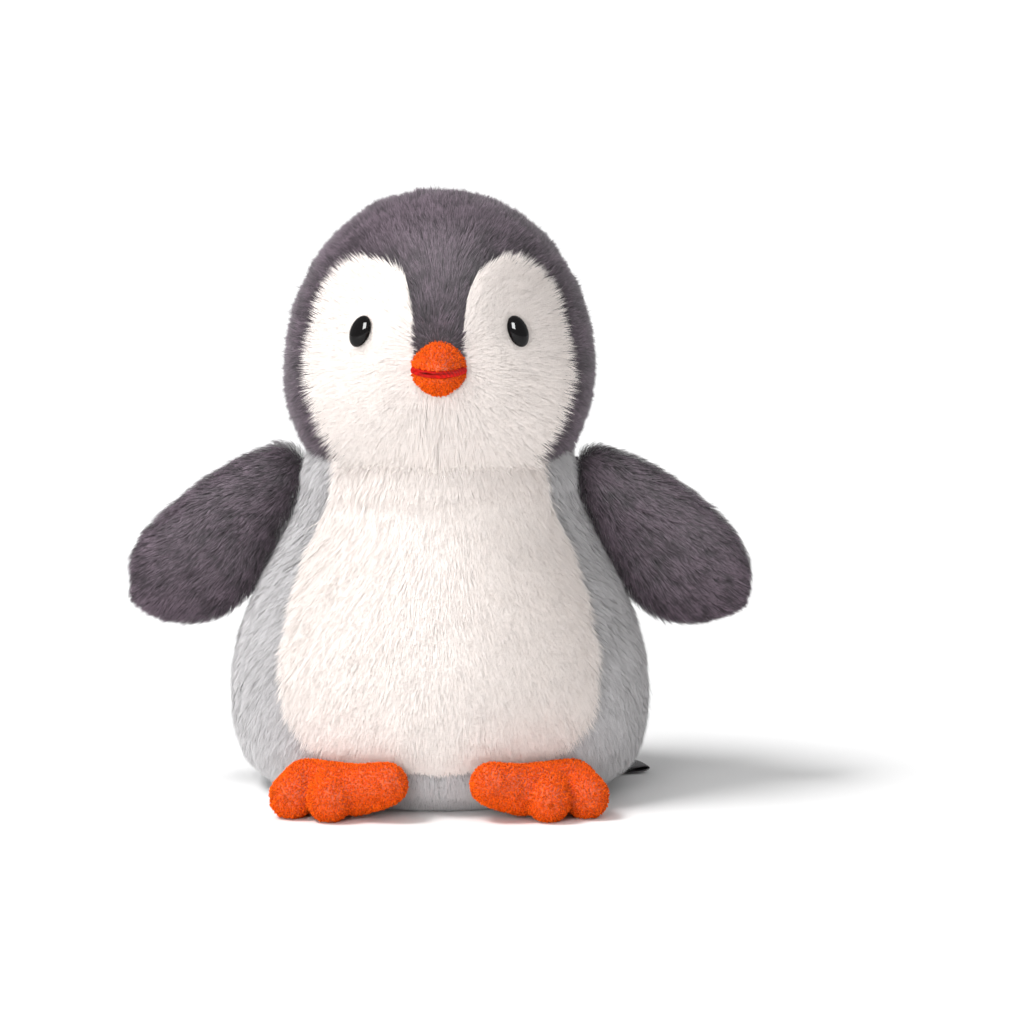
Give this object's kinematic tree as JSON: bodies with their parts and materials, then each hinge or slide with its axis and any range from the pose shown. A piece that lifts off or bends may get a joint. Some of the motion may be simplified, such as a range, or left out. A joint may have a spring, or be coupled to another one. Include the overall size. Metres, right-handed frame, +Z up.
{
  "type": "plush penguin",
  "caption": "Sitting plush penguin with a flat base, a sewn-on head that turns and nods, and flippers and feet that flex at their seams.",
  "frame": {"origin": "middle of the flat base, on the surface that the toy sits on", "axes": "+Z up, the face looks along -Y, the penguin's own left side is +X"},
  "size_m": [0.1972, 0.1444, 0.197],
  "materials": {
    "white_plush": "long-pile plush",
    "dark_plush": "long-pile plush",
    "light_grey_plush": "long-pile plush",
    "orange_fleece": "looped boucle fleece",
    "mouth_thread": "satin stitch",
    "sewing_thread": "spun thread",
    "stuffing": "loose polyester fibre",
    "pouch_fabric": "woven bag of plastic beads",
    "eye_plastic": "polished",
    "washer_plastic": "moulded",
    "label_ribbon": "woven ribbon, blank"
  },
  "bodies": {
    "body": {"belly_panel": "white_plush", "body_side_left": "light_grey_plush", "body_side_right": "light_grey_plush", "base_panel": "light_grey_plush", "body_stuffing": "stuffing", "pellet_pouch": "pouch_fabric", "neck_stitching": "sewing_thread", "care_label": "label_ribbon", "shoulder_stitching_left": "sewing_thread", "shoulder_stitching_right": "sewing_thread", "ankle_stitching_left": "sewing_thread", "ankle_stitching_right": "sewing_thread"},
    "neck": {"neck_stuffing": "stuffing"},
    "head": {"face_panel_left": "white_plush", "face_panel_right": "white_plush", "crown_gusset": "dark_plush", "head_side_left": "dark_plush", "head_side_right": "dark_plush", "head_stuffing": "stuffing", "eye_left": "eye_plastic", "eye_right": "eye_plastic", "eye_washer_left": "washer_plastic", "eye_washer_right": "washer_plastic", "beak_upper": "orange_fleece", "beak_lower": "orange_fleece", "beak_stuffing": "stuffing", "mouth_stitching": "mouth_thread"},
    "flipper_left": {"flipper_front_left": "dark_plush", "flipper_back_left": "dark_plush", "flipper_stuffing_left": "stuffing"},
    "flipper_right": {"flipper_front_right": "dark_plush", "flipper_back_right": "dark_plush", "flipper_stuffing_right": "stuffing"},
    "foot_left": {"foot_top_left": "orange_fleece", "foot_sole_left": "orange_fleece", "foot_stuffing_left": "stuffing"},
    "foot_right": {"foot_top_right": "orange_fleece", "foot_sole_right": "orange_fleece", "foot_stuffing_right": "stuffing"}
  },
  "joints": [
    {"name": "head_turn", "type": "hinge", "parent": "body", "child": "neck", "pos_m": [0, 0, 0.096], "axis": [0, 0, 1], "range_deg": [-20, 20], "stiffness_Nm_per_rad": 0.6},
    {"name": "head_nod", "type": "hinge", "parent": "neck", "child": "head", "pos_m": [0, 0, 0.096], "axis": [1, 0, 0], "range_deg": [-8, 8], "stiffness_Nm_per_rad": 0.9},
    {"name": "flipper_left_raise", "type": "hinge", "parent": "body", "child": "flipper_left", "pos_m": [0.0517, 0.005, 0.104], "axis": [0, -1, 0], "range_deg": [0, 50], "stiffness_Nm_per_rad": 0.02},
    {"name": "flipper_right_raise", "type": "hinge", "parent": "body", "child": "flipper_right", "pos_m": [-0.0517, 0.005, 0.104], "axis": [0, 1, 0], "range_deg": [0, 50], "stiffness_Nm_per_rad": 0.02},
    {"name": "foot_left_flex", "type": "hinge", "parent": "body", "child": "foot_left", "pos_m": [0.027, -0.0666, 0.0096], "axis": [-0.852, -0.5236, 0], "range_deg": [0, 20], "stiffness_Nm_per_rad": 0.02},
    {"name": "foot_right_flex", "type": "hinge", "parent": "body", "child": "foot_right", "pos_m": [-0.027, -0.0666, 0.0096], "axis": [-0.852, 0.5236, 0], "range_deg": [0, 20], "stiffness_Nm_per_rad": 0.02}
  ]
}
